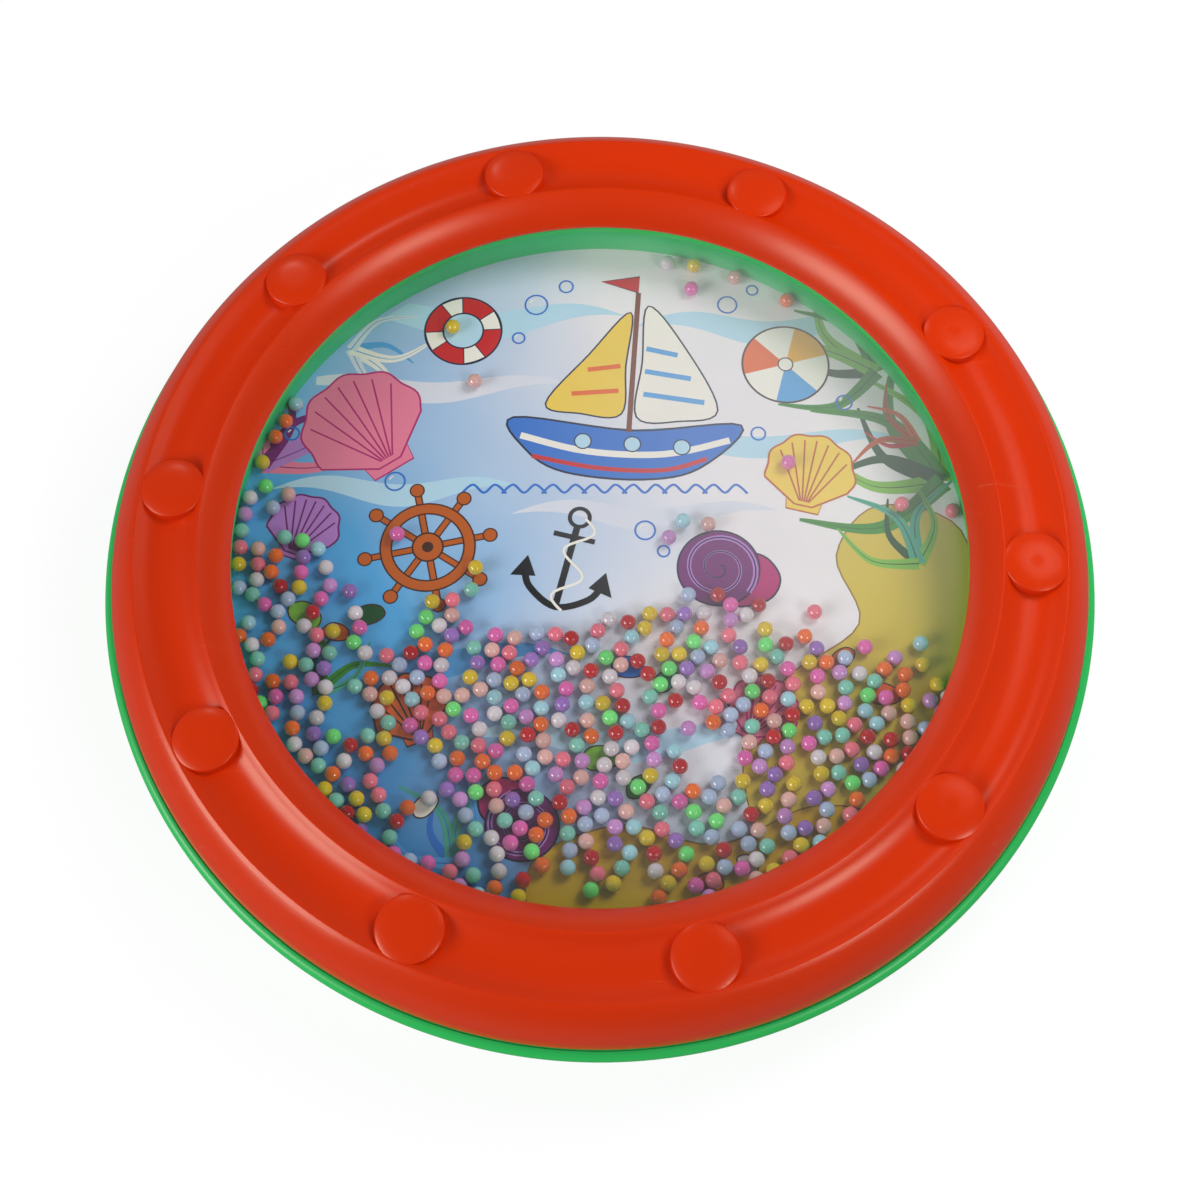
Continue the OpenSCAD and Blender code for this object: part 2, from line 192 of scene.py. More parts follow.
def lathe(profile, segments):
    """Vertices and faces of a solid of revolution whose open profile starts and ends on its axis."""
    verts = [(0, 0, profile[0][1])]
    inner = profile[1:-1]
    for r, z in inner:
        verts += [(r * math.cos(2 * math.pi * s / segments), r * math.sin(2 * math.pi * s / segments), z)
                  for s in range(segments)]
    verts.append((0, 0, profile[-1][1]))
    faces = []
    for s in range(segments):
        t = (s + 1) % segments
        faces.append((0, 1 + t, 1 + s))
        for k in range(len(inner) - 1):
            a, b = 1 + k * segments, 1 + (k + 1) * segments
            faces.append((a + s, a + t, b + t, b + s))
        last = 1 + (len(inner) - 1) * segments
        faces.append((last + s, last + t, len(verts) - 1))
    return verts, faces


def moved(mesh, offset, turn):
    """Mesh turned about the vertical, in degrees, and then moved."""
    verts, faces = mesh
    c, s = math.cos(math.radians(turn)), math.sin(math.radians(turn))
    dx, dy, dz = offset
    return [(x * c - y * s + dx, x * s + y * c + dy, z + dz) for x, y, z in verts], faces


def joined(*meshes):
    """Vertices and faces of several meshes in one."""
    verts, faces = [], []
    for v, f in meshes:
        start = len(verts)
        verts += v
        faces += [tuple(start + i for i in face) for face in f]
    return verts, faces


def round_the_rim(mesh):
    """Copies of a mesh at the boss circle, turned outwards."""
    step = 360 / BOSS_COUNT
    copies = []
    for i in range(BOSS_COUNT):
        turn = BOSS_TURN + i * step
        copies.append(moved(mesh, (*on_circle((0, 0), BOSS_CIRCLE, turn), 0), turn))
    return joined(*copies)


# Section of the mouldings

def arc_radius(chord, rise):
    """Radius of the arc that rises by rise over a chord."""
    return (chord * chord / 4 + rise * rise) / 2 / rise


def bend_radius(run, height):
    """Radius of the arc that starts upright and leans over by run within a height."""
    return (run * run + height * height) / 2 / run


CHANNEL_R = arc_radius(CREASE - CREST, CHANNEL_DEPTH)
CHANNEL_HALF = math.degrees(math.asin((CREASE - CREST) / 2 / CHANNEL_R))


def bowed(a, b, rise, count):
    """Points on the arc that bulges by rise from the straight line between a and b, without its ends."""
    dx, dy = b[0] - a[0], b[1] - a[1]
    chord = math.hypot(dx, dy)
    points = []
    for i in range(1, count):
        t = i / count
        bulge = 4 * rise * t * (1 - t)
        points.append((a[0] + dx * t - dy / chord * bulge, a[1] + dy * t + dx / chord * bulge))
    return points


def front_profile():
    """Closed section of the front rim, from the lip over the ridges to the lower edge and back inside."""
    half = WALL / 2
    lip = (LIP_IN + EDGE_ROUND, CLEAR_TOP + RING_T + EDGE_ROUND)
    slope = math.degrees(math.atan2(RIDGE_Z - lip[1], CREST - lip[0]))
    bow = math.degrees(4 * SLOPE_BOW / math.hypot(RIDGE_Z - lip[1], CREST - lip[0]))
    channel = (BOSS_CIRCLE, RIDGE_Z + CHANNEL_R - CHANNEL_DEPTH)
    tail = RIM_EDGE - SHOULDER_TAIL
    shoulder_r = bend_radius(RIM_OUT - half - CREASE, RIDGE_Z - tail)
    centre = (RIM_OUT - half - shoulder_r, tail)
    start = math.degrees(math.atan2(RIDGE_Z - tail, CREASE - centre[0]))
    end = math.degrees(math.asin(SHOULDER_TAIL / shoulder_r))
    ridge_z = RIDGE_Z + half - RIDGE_ROUND
    outer = arc(lip, EDGE_ROUND, 270, 90 + slope + bow, 12)
    crest = arc((CREST, ridge_z), RIDGE_ROUND, 90 + slope - bow, 90 - CHANNEL_HALF, 6)
    outer += bowed(outer[-1], crest[0], SLOPE_BOW, 12) + crest
    outer += arc(channel, CHANNEL_R - half, 270 - CHANNEL_HALF + EASE, 270 + CHANNEL_HALF - EASE, 22)
    outer += arc((CREASE, ridge_z), RIDGE_ROUND, 90 + CHANNEL_HALF, start, 6)
    outer += arc(centre, shoulder_r + half, start - EASE, end, 26)
    inner = arc(centre, shoulder_r - half, end, start, 16)
    inner += arc(channel, CHANNEL_R + half, 270 + CHANNEL_HALF, 270 - CHANNEL_HALF, 14)
    return outer + inner + [(lip[0] + LIP_CORNER_OUT, lip[1] - LIP_CORNER_BACK)]


def boss_mesh():
    """One round boss: a domed top with a small round at its edge, sunk into the wall of the channel."""
    radius = BOSS_D / 2
    root = RIDGE_Z - CHANNEL_DEPTH * ROOT_SHARE
    lean = math.radians(BOSS_LEAN)
    reach = radius - BOSS_EDGE + BOSS_EDGE * math.cos(lean)
    steps = [reach * k / 10 for k in range(11)]
    dome = [(step, RIM_TOP - BOSS_DOME * (step / radius) ** BOSS_POWER) for step in steps]
    edge = (radius - BOSS_EDGE, dome[-1][1] - BOSS_EDGE * math.sin(lean))
    profile = dome + arc(edge, BOSS_EDGE, BOSS_LEAN, 0, 8)[1:]
    return lathe(profile + [(radius, root), (0, root)], 96)


def build_front_rim(plastic):
    rim = joined(revolve(front_profile()), round_the_rim(boss_mesh()))
    return piece("front_rim_moulding", *rim, "drum", "rim_orange", [plastic], ["front_rim"])


# Beads

def cube_ball(divisions):
    """Unit ball made of six bulged squares."""
    verts, index, faces = [], {}, []

    def vertex(p):
        key = tuple(round(c, 6) for c in p)
        if key not in index:
            index[key] = len(verts)
            verts.append(tuple(Vector(p).normalized()))
        return index[key]

    steps = [math.tan(math.pi / 4 * (2 * i / divisions - 1)) for i in range(divisions + 1)]
    for axis in range(3):
        for side in (-1, 1):
            for i in range(divisions):
                for j in range(divisions):
                    corners = []
                    for a, b in ((i, j), (i + 1, j), (i + 1, j + 1), (i, j + 1)):
                        p = [0, 0, 0]
                        p[axis] = side
                        p[(axis + 1) % 3] = steps[a]
                        p[(axis + 2) % 3] = steps[b]
                        corners.append(vertex(p))
                    faces.append(tuple(corners if side > 0 else reversed(corners)))
    return np.array(verts), np.array(faces)


BALL_VERTS, BALL_FACES = cube_ball(divisions=8)


def bead_places(cad_node):
    """Centres and radius of the balls in a CAD node, from their highest points."""
    co = np.array([v.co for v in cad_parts[cad_node].data.vertices]) / MM
    high, low = co[:, 2].max(), co[:, 2].min()
    tops = {(round(x, 2), round(y, 2)) for x, y, z in co[co[:, 2] > high - 1e-3]}
    return [(x, y, (high + low) / 2) for x, y in sorted(tops)], (high - low) / 2


def build_beads(cad_node, body, slot, material, rng):
    """A finely divided ball for each ball of a CAD node, each turned at random."""
    places, radius = bead_places(cad_node)
    verts, faces = [], []
    for place in places:
        turn = Matrix.Rotation(rng.uniform(0, 6.28), 3, "Z") @ Matrix.Rotation(rng.uniform(0, 3.14), 3, "X")
        ball = BALL_VERTS @ np.array(turn).T * radius + np.array(place)
        faces += (BALL_FACES + len(verts)).tolist()
        verts += ball.tolist()
    return piece(cad_node + "_balls", verts, faces, body, slot, [material], [cad_node], sharp=180)


# Heads, hoop and rings

def build_hoop(plastic):
    out = CHAMBER_R + HOOP_T
    r = HOOP_ROUND
    profile = arc((CHAMBER_R + r, CHAMBER_LOW + r), r, 270, 180, 4)
    profile += arc((CHAMBER_R + r, CHAMBER_HIGH - r), r, 180, 90, 4)
    profile += [(out, CHAMBER_HIGH), (out, CHAMBER_LOW)]
    return piece("chamber_hoop_band", *revolve(profile), "drum", "shell_green", [plastic], ["chamber_hoop"])


def build_ring(name, cad_node, low, lean, plastic):
    """Head ring: flat part with a rounded inner edge, and a skirt on the side that lean gives."""
    r = RING_ROUND
    profile = arc((RING_IN + r, r), r, 270, 180, 4) + arc((RING_IN + r, RING_T - r), r, 180, 90, 4)
    profile += [(RING_OUT - SKIRT_T, RING_T), (RING_OUT - SKIRT_T, RING_T + SKIRT_H)]
    profile += [(RING_OUT, RING_T + SKIRT_H), (RING_OUT, 0)]
    profile = [(a, low + lean * b) for a, b in profile]
    return piece(name, *revolve(profile), "drum", "shell_green", [plastic], [cad_node])


def head_profile(face, back, lean, film):
    """Film from the axis to its turned edge. face is the outer side's height, back the inner side's."""
    bend = (HEAD_EDGE - HEAD_BEND, face + lean * HEAD_BEND)
    end = face + lean * HEAD_TURNED
    outer = [(0, face), (40, face), (70, face)] + arc(bend, HEAD_BEND, -90 * lean, 0, 5) + [(HEAD_EDGE, end)]
    inner = [(HEAD_EDGE - film, end)] + arc(bend, HEAD_BEND - film, 0, -90 * lean, 5)
    return outer + inner + [(70, back), (40, back), (0, back)]


def build_clear_head(film):
    mesh = lathe(head_profile(CLEAR_TOP, CHAMBER_HIGH, -1, CLEAR_T), SEGMENTS)
    return piece("clear_head_film", *mesh, "drum", "clear_film", [film], ["clear_head"])


def build_print_head(film):
    mesh = lathe(head_profile(PRINT_LOW, CHAMBER_LOW, 1, PRINT_T), SEGMENTS)
    return piece("print_head_film", *mesh, "drum", "print_film", [film], ["print_head"])


# Back shell

def back_profile():
    """Closed section of the back shell: outer skin from the lip to the flange, then back along the inside."""
    half = WALL / 2
    ridge_z = EDGE_ROUND
    lip = (LIP_IN + EDGE_ROUND, RING_LOW - EDGE_ROUND)
    slope = math.degrees(math.atan2(lip[1] - ridge_z, CREST - lip[0]))
    channel = (BOSS_CIRCLE, ridge_z - CHANNEL_R + CHANNEL_DEPTH)
    flange_z = RIM_EDGE - FLANGE_GAP - FLANGE_BEAD / 2
    bead_r = FLANGE_OUT - FLANGE_BEAD / 2
    heel = CREASE + FOOT_WIDTH / 2
    wall = RIM_OUT - half
    shoulder_r = bend_radius(wall - heel, flange_z - ridge_z)
    centre = (wall - shoulder_r, flange_z)
    start = -math.degrees(math.atan2(flange_z - ridge_z, heel - centre[0]))
    end = -math.degrees(math.asin(FLANGE_T / 2 / shoulder_r))
    foot_in = CREASE - FOOT_WIDTH / 4 + FOOT_ROUND
    foot_out = heel + FOOT_WIDTH / 4 - FOOT_ROUND
    outer = arc(lip, EDGE_ROUND, 90, 270 - slope, 10)
    outer += arc((CREST, ridge_z - half + CREST_ROUND), CREST_ROUND, 270 - slope, 270 + CHANNEL_HALF, 6)
    outer += arc(channel, CHANNEL_R - half, 90 + CHANNEL_HALF - EASE, 90 - CHANNEL_HALF + 2 * EASE, 22)
    outer += arc((foot_in, FOOT_ROUND), FOOT_ROUND, 180, 270, 5)
    outer += arc((foot_out, FOOT_ROUND), FOOT_ROUND, 270, 330, 4)
    outer += arc(centre, shoulder_r + half, start, end, 24)
    outer += arc((bead_r, flange_z), FLANGE_BEAD / 2, 240, 450, 22)
    inner = [(bead_r, flange_z + FLANGE_T / 2), (SPIGOT_R, flange_z + FLANGE_T / 2), (SPIGOT_R, SPIGOT_TOP)]
    inner += [(SPIGOT_R - SPIGOT_T, SPIGOT_TOP), (SPIGOT_R - SPIGOT_T, flange_z - FLANGE_T / 2)]
    inner += arc(centre, shoulder_r - half, end, start, 12)
    inner += arc(channel, CHANNEL_R + half, 90 - CHANNEL_HALF, 90 + CHANNEL_HALF, 14)
    return outer + inner + [(lip[0] + LIP_CORNER_OUT, lip[1] + LIP_CORNER_BACK)]


def cut_away(thing, cutter):
    """Takes the closed mesh of the cutter out of an object, and removes the cutter."""
    trim = thing.modifiers.new("cut", "BOOLEAN")
    trim.operation, trim.solver, trim.object = "DIFFERENCE", "EXACT", cutter
    shaped = bpy.data.meshes.new_from_object(thing.evaluated_get(bpy.context.evaluated_depsgraph_get()))
    thing.modifiers.clear()
    thing.data = shaped
    bpy.data.objects.remove(cutter)


def plain_object(name, mesh):
    """Object of a mesh in millimetres that is only worked on and isn't a piece of the drum."""
    verts, faces = mesh
    data = bpy.data.meshes.new(name)
    data.from_pydata([tuple(c * MM for c in v) for v in verts], [], faces)
    thing = bpy.data.objects.new(name, data)
    bpy.context.scene.collection.objects.link(thing)
    return thing


def well_mesh():
    """Wall of one screw well with the seat at its end, as a closed lathe shape open along its axis."""
    root = EDGE_ROUND + CHANNEL_DEPTH * ROOT_SHARE
    end = SEAT_Z + SEAT_T
    bore, out, shank = WELL_BORE / 2, WELL_OUT / 2, SHANK_HOLE / 2
    return revolve([(bore, root), (bore, SEAT_Z), (shank, SEAT_Z), (shank, end), (out, end), (out, root)], 64)


def build_back_shell(plastic):
    shell = plain_object("back_shell_moulding", revolve(back_profile()))
    bore = [(0, -1), (WELL_BORE / 2, -1), (WELL_BORE / 2, SEAT_Z), (0, SEAT_Z)]
    cut_away(shell, plain_object("bores", round_the_rim(lathe(bore, 64))))
    faces = [tuple(p.vertices) for p in shell.data.polygons]
    body = ([tuple(v.co / MM) for v in shell.data.vertices], faces)
    bpy.data.objects.remove(shell)
    whole = joined(body, round_the_rim(well_mesh()))
    return piece("back_shell_moulding", *whole, "drum", "shell_green", [plastic], ["back_shell"])


# Printed picture under the beads

class Picture:
    """Flat coloured shapes laid on one another; each is a hair higher than the one before."""

    def __init__(self, inks):
        self.verts, self.faces, self.mats = [], [], []
        self.names = list(inks)
        self.level = 0

    def add(self, points, faces, ink):
        self.level += 1
        start = len(self.verts)
        height = CHAMBER_LOW + PRINT_STEP * self.level
        self.verts += [(x, y, height) for x, y in points]
        self.faces += [tuple(start + i for i in face) for face in faces]
        self.mats += [self.names.index(ink)] * len(faces)

    def fill(self, points, ink, line=None, width=OUTLINE):
        """Flat shape inside a closed row of points, with an outline if an ink for it is given."""
        self.add(points, [tuple(range(len(points)))], ink)
        if line:
            self.stroke(points + points[:1], line, width)

    def stroke(self, points, ink, width=OUTLINE, taper=False):
        """Line of even width, or one that thins towards its end."""
        closed = points[0] == points[-1]
        rows = []
        for i, (x, y) in enumerate(points):
            before = points[i - 1] if i else (points[-2] if closed else points[0])
            after = points[i + 1] if i + 1 < len(points) else (points[1] if closed else points[-1])
            dx, dy = after[0] - before[0], after[1] - before[1]
            size = math.hypot(dx, dy) or 1
            w = width / 2 * (1 - 0.85 * i / (len(points) - 1) if taper else 1)
            rows += [(x - dy / size * w, y + dx / size * w), (x + dy / size * w, y - dx / size * w)]
        self.add(rows, [(2 * i, 2 * i + 1, 2 * i + 3, 2 * i + 2) for i in range(len(points) - 1)], ink)

    def disc(self, at, radius, ink, line=None, width=OUTLINE):
        self.fill(circle(at, radius), ink, line, width)

    def ring(self, at, radius, ink, width):
        rim = circle(at, radius)
        self.stroke(rim + rim[:1], ink, width)


def circle(at, radius, squash=1.0):
    turns = [2 * math.pi * i / 48 for i in range(48)]
    return [(at[0] + radius * math.cos(t), at[1] + radius * squash * math.sin(t)) for t in turns]


def placer(at, size, turn=0.0):
    """Function that sizes, turns and moves the points of a shape drawn about the origin."""
    c, s = size * math.cos(math.radians(turn)), size * math.sin(math.radians(turn))
    return lambda points: [(at[0] + x * c - y * s, at[1] + x * s + y * c) for x, y in points]


def smooth(points, closed=True, steps=6):
    """Curve through given points."""
    def blend(a, b, c, d, t):
        bend = (2 * a - 5 * b + 4 * c - d) * t * t + (3 * b - a - 3 * c + d) * t ** 3
        return 0.5 * (2 * b + (c - a) * t + bend)

    n = len(points)
    curve = []
    for i in range(n if closed else n - 1):
        near = [(i + k) % n if closed else min(max(i + k, 0), n - 1) for k in (-1, 0, 1, 2)]
        for j in range(steps):
            curve.append(tuple(blend(*[points[k][axis] for k in near], j / steps) for axis in (0, 1)))
    return curve if closed else curve + [points[-1]]


def draw_water(picture):
    """Bands of paler and deeper water, each edge a slow wave."""
    bands = ((-30, 62, 36, 7, "pale_water"), (38, 60, 30, 6, "pale_water"), (-40, 44, 34, 5, "mist"),
             (34, 30, 36, 5, "pale_water"), (-46, 18, 28, 5, "pale_water"), (10, 12, 30, 5, "mist"),
             (-40, -22, 34, 6, "sky_blue"), (4, -40, 34, 6, "pale_water"))
    steps = [i / 24 for i in range(25)]
    for x, y, long, deep, ink in bands:
        upper = [(x - long + 2 * long * t, y + deep * (math.sin(math.pi * t) * 0.6 + 0.35 * math.sin(9 * t)))
                 for t in steps]
        lower = [(x - long + 2 * long * t, y - deep * (math.sin(math.pi * t) * 0.5 - 0.35 * math.sin(9 * t)))
                 for t in reversed(steps[1:-1])]
        picture.fill([p for p in upper + lower if math.hypot(*p) < PRINT_R], ink)


def draw_dune(picture, points, ink, line):
    """Heap of sand that the edge of the film cuts off."""
    picture.fill([p for p in smooth(points) if math.hypot(*p) < PRINT_R + 2], ink, line)


def draw_boat(picture, at, size):
    """Sailing boat: hull with two stripes and portholes, mast, two striped sails and a pennant."""
    part = placer(at, size, -4)
    hull = smooth([(-1.0, 0.1), (-0.86, -0.22), (-0.5, -0.42), (0.2, -0.45), (0.72, -0.3), (1.08, 0.16),
                   (0.1, 0.04)])
    upper = smooth([(-0.92, -0.08), (-0.3, -0.2), (0.4, -0.18), (0.98, 0.0)], closed=False)
    lower = smooth([(-0.8, -0.28), (-0.2, -0.36), (0.4, -0.34), (0.78, -0.2)], closed=False)
    picture.fill(part(hull), "boat_blue", "navy", 0.5)
    picture.stroke(part(upper), "cream", 1.6)
    picture.stroke(part(lower), "red", 1.1)
    picture.stroke(part([(0.06, 0.02), (0.06, 1.5)]), "brown", 1.2)
    main = smooth([(0.12, 0.18), (0.14, 0.75), (0.16, 1.36), (0.52, 0.95), (0.86, 0.3), (0.5, 0.16)])
    fore = smooth([(-0.02, 0.2), (-0.01, 0.7), (0.0, 1.28), (-0.36, 0.8), (-0.72, 0.26), (-0.4, 0.18)])
    picture.fill(part(main), "cream", "navy", 0.4)
    picture.fill(part(fore), "pale_yellow", "navy", 0.4)
    for high in (0.42, 0.66, 0.9):
        wide = 0.62 * (1.42 - high) / 1.1
        picture.stroke(part([(0.17, high), (0.17 + wide, high - 0.05)]), "sky_blue", 1.3)
    for high in (0.44, 0.7):
        wide = 0.5 * (1.3 - high)
        picture.stroke(part([(-0.06, high), (-0.06 - wide, high - 0.06)]), "orange", 1.2)
    picture.fill(part([(0.06, 1.5), (0.06, 1.68), (-0.3, 1.6)]), "red", "navy", 0.3)
    for side in (-0.35, 0.1, 0.55):
        picture.disc(part([(side, -0.1)])[0], size * 0.075, "pale_water", "navy", 0.3)


def draw_waves(picture, at, size, count, ink):
    crest = smooth([(-0.5, 0), (-0.25, 0.22), (0, 0.02), (0.25, 0.22), (0.5, 0)], closed=False)
    for i in range(count):
        part = placer((at[0] + i * size * 0.9, at[1]), size)
        picture.stroke(part(crest), ink, 0.55)


def draw_lifebuoy(picture, at, radius):
    picture.disc(at, radius, "red", "navy", 0.4)
    for turn in (20, 110, 200, 290):
        rim = [on_circle(at, radius * 0.97, turn + k) for k in (-17, -8, 0, 8, 17)]
        hole = [on_circle(at, radius * 0.5, turn + k) for k in (17, 8, 0, -8, -17)]
        picture.fill(rim + hole, "cream", "navy", 0.25)
    picture.disc(at, radius * 0.52, "pale_water", "navy", 0.4)


def draw_scallop(picture, at, size, turn, ink, line):
    """Scallop shell: a fan with a waved edge, two ears and ribs."""
    part = placer(at, size, turn)
    edge = []
    for i in range(45):
        t = math.radians(200 - i * 5)
        r = 1 + 0.035 * math.cos(math.radians(i * 5 * 9))
        edge.append((r * math.cos(t), 0.12 + 0.95 * r * math.sin(t)))
    fan = edge + [(0.2, -0.72), (-0.2, -0.72)]
    picture.fill(part([(-0.42, -0.5), (-0.36, -0.86), (0.36, -0.86), (0.42, -0.5)]), ink, line, 0.4)
    picture.fill(part(fan), ink, line, 0.45)
    for lean in (30, 52, 72, 90, 108, 128, 150):
        t = math.radians(lean)
        tip = (0.88 * math.cos(t), 0.1 + 0.84 * math.sin(t))
        picture.stroke(part([(0.12 * math.cos(t), -0.62), tip]), line, 0.4)


def draw_spiral_shell(picture, at, size, turn):
    """Snail-like shell: a round coil with a flared mouth."""
    part = placer(at, size, turn)
    mouth = smooth([(0.1, -0.9), (0.95, -0.98), (1.35, -0.5), (1.1, 0.1), (0.5, 0.2)])
    picture.fill(part(mouth), "magenta", "navy", 0.4)
    picture.fill(part(circle((0, 0), 0.95, 0.98)), "purple", "navy", 0.4)
    coil = []
    for i in range(60):
        r = 0.9 - 0.82 * i / 60
        coil.append((r * math.cos(i * 0.24 - 0.9), r * math.sin(i * 0.24 - 0.9)))
    picture.stroke(part(coil), "lilac", 1.2, taper=True)
    picture.stroke(part(coil), "navy")


def draw_wheel(picture, at, radius):
    """Ship's wheel with eight handles."""
    for i in range(8):
        tip = on_circle(at, radius, 45 * i + 12)
        picture.stroke([at, tip], "dark_brown", 1.7)
        picture.stroke([at, tip], "copper", 1.1)
        picture.disc(tip, radius * 0.11, "copper", "dark_brown", 0.3)
    picture.ring(at, radius * 0.66, "dark_brown", 2.8)
    picture.ring(at, radius * 0.66, "copper", 2.1)
    picture.disc(at, radius * 0.24, "copper", "dark_brown", 0.4)
    picture.disc(at, radius * 0.09, "dark_brown")


def draw_anchor(picture, at, size, turn):
    part = placer(at, size, turn)
    picture.stroke(part([(0, -0.85), (0, 0.62)]), "ink_black", 1.5)
    picture.stroke(part([(-0.36, 0.42), (0.36, 0.42)]), "ink_black", 1.2)
    ring = circle((0, 0.8), 0.17)
    picture.stroke(part(ring + ring[:1]), "ink_black", 0.9)
    arms = smooth([(-0.68, -0.28), (-0.52, -0.62), (0, -0.88), (0.52, -0.62), (0.68, -0.28)], closed=False)
    picture.stroke(part(arms), "ink_black", 1.5)
    for side in (-1, 1):
        picture.fill(part([(side * 0.68, -0.08), (side * 0.88, -0.5), (side * 0.46, -0.42)]), "ink_black")
    rope = [(0.22 * math.sin(i * 0.55) + 0.1, 0.8 - i * 0.075) for i in range(24)]
    picture.stroke(part(rope), "cream", 0.6)


def draw_ball(picture, at, radius, turn):
    for i, ink in enumerate(("gold", "cream", "orange", "cream", "sky_blue", "cream")):
        picture.fill([at] + [on_circle(at, radius, turn + 60 * i + 10 * k) for k in range(7)], ink)
    picture.ring(at, radius, "dark_brown", 0.45)
    picture.disc(at, radius * 0.17, "cream", "dark_brown", 0.3)


def draw_bubbles(picture, places, ink):
    for x, y, radius in places:
        picture.ring((x, y), radius, ink, 0.4)
        glint = [on_circle((x, y), radius * 0.6, math.degrees(t)) for t in (1.9, 2.2, 2.5, 2.8)]
        picture.stroke(glint, "cream")


def draw_grass(picture, root, reach, turns, inks):
    """Tuft of long blades that lean over; turns are the directions of the blades in degrees."""
    for i, turn in enumerate(turns):
        size = reach * (1 - 0.12 * (i % 3))
        bow = 0.2 * size * (-1) ** i
        mid = on_circle(on_circle(root, size * 0.5, turn), bow, turn + 90)
        blade = smooth([root, mid, on_circle(root, size, turn)], closed=False, steps=10)
        picture.stroke(blade, inks[i % len(inks)], size * 0.15, taper=True)
        picture.stroke(blade, inks[-1], 0.3, taper=True)


def draw_pebbles(picture, places):
    stone = [(-1, -0.1), (-0.6, 0.55), (0.1, 0.7), (0.8, 0.45), (1, -0.15), (0.4, -0.55), (-0.5, -0.6)]
    for x, y, size, ink in places:
        part = placer((x, y), size, 40 * math.sin(x))
        picture.fill(part(smooth(stone)), ink, "dark_brown", 0.3)


def draw_picture(inks):
    """Sea picture of plain things: water, sand, a boat, shells, grass, pebbles and bubbles."""
    picture = Picture(inks)
    draw_water(picture)
    draw_dune(picture, [(80, 8), (62, 14), (52, 2), (56, -14), (40, -26), (30, -40), (34, -62), (52, -62),
                        (68, -44), (80, -18)], "sand", "dark_sand")
    draw_dune(picture, [(-14, -66), (4, -58), (24, -62), (44, -54), (58, -58), (40, -74), (16, -82),
                        (-10, -82)], "gold_sand", "dark_sand")
    draw_grass(picture, (-76, 24), 30, (8, 22, 38, 52, 68, 84), ("lilac", "pink", "purple"))
    draw_grass(picture, (-58, 54), 20, (-60, -38, -14, 8, 30), ("cream", "mist", "sky_blue"))
    draw_grass(picture, (77, 20), 34, (104, 120, 134, 148, 162, 178, 196), ("green", "leaf", "dark_green"))
    draw_grass(picture, (64, 48), 28, (118, 138, 158, 178, 200), ("leaf", "green", "dark_green"))
    draw_grass(picture, (72, 30), 16, (112, 140, 168, 200), ("copper", "orange", "red"))
    draw_grass(picture, (70, 0), 22, (66, 88, 110, 132, 154), ("teal", "leaf", "dark_green"))
    draw_scallop(picture, (-53, 33), 14, 34, "pink", "magenta")
    draw_scallop(picture, (-66, 8), 8, -20, "lilac", "purple")
    draw_lifebuoy(picture, (-32, 59), 9)
    draw_boat(picture, (5, 32), 25)
    draw_waves(picture, (-26, 17), 10, 7, "boat_blue")
    draw_ball(picture, (43, 50), 10, 15)
    draw_wheel(picture, (-38, 4), 14)
    draw_anchor(picture, (-7, 1), 13, -14)
    draw_spiral_shell(picture, (26, -1), 9.5, 10)
    draw_scallop(picture, (47, 21), 10, -14, "pale_yellow", "copper")
    draw_bubbles(picture, [(-15, 66, 2.6), (-8, 71, 1.6), (-19, 57, 1.4), (30, 66, 2.2), (36, 70, 1.3),
                           (56, 40, 1.8), (-46, 20, 2.2), (10, 8, 2.2), (14, 3, 1.3), (36, 32, 1.6),
                           (-70, 32, 1.6)], "boat_blue")
    draw_grass(picture, (-30, -66), 20, (60, 84, 104, 126, 148), ("teal", "sky_blue", "boat_blue"))
    draw_grass(picture, (-60, -30), 18, (20, 48, 78, 104), ("green", "teal", "dark_green"))
    draw_spiral_shell(picture, (-16, -58), 8, 160)
    draw_scallop(picture, (-40, -34), 8, 20, "orange", "dark_brown")
    draw_scallop(picture, (34, -34), 7.5, -30, "pink", "magenta")
    draw_pebbles(picture, [(-64, -12, 4, "leaf"), (-57, -16, 3, "copper"), (-50, -12, 3.4, "dark_green"),
                           (6, -24, 3.6, "boat_blue"), (14, -27, 3, "teal"), (0, -44, 4, "leaf"),
                           (8, -50, 3, "green"), (52, -22, 3, "copper"), (60, -30, 3.6, "orange"),
                           (22, -70, 3, "copper"), (30, -66, 2.4, "cream"), (-36, -54, 3, "cream")])
    return picture


def build_picture(inks):
    picture = draw_picture(inks)
    mesh = piece("printed_picture", picture.verts, picture.faces, "drum", "print_film", list(inks.values()),
                 face_mats=picture.mats, sharp=180).data
    shape = bmesh.new()
    shape.from_mesh(mesh)
    bmesh.ops.recalc_face_normals(shape, faces=shape.faces)
    for face in shape.faces:
        if face.normal.z < 0:
            face.normal_flip()
    shape.to_mesh(mesh)
    shape.free()


# Materials

def new_material(name):
    material = bpy.data.materials.new(name)
    material.use_nodes = True
    tree = material.node_tree
    shader = tree.nodes["Principled BSDF"]
    return material, tree, shader


def srgb(r, g, b):
    """Linear colour of an sRGB triple from 0 to 255."""
    def linear(c):
        c /= 255
        return c / 12.92 if c <= 0.04045 else ((c + 0.055) / 1.055) ** 2.4
    return (linear(r), linear(g), linear(b), 1)


def new_group(name, inputs, outputs):
    """Empty node group with float or colour sockets; inputs are name: default."""
    tree = bpy.data.node_groups.new(name, "ShaderNodeTree")
    for label, default in inputs.items():
        kind = "NodeSocketColor" if isinstance(default, tuple) else "NodeSocketFloat"
        socket = tree.interface.new_socket(label, in_out="INPUT", socket_type=kind)
        socket.default_value = default
    for label, kind in outputs.items():
        tree.interface.new_socket(label, in_out="OUTPUT", socket_type=kind)
    return tree, tree.nodes.new("NodeGroupInput"), tree.nodes.new("NodeGroupOutput")


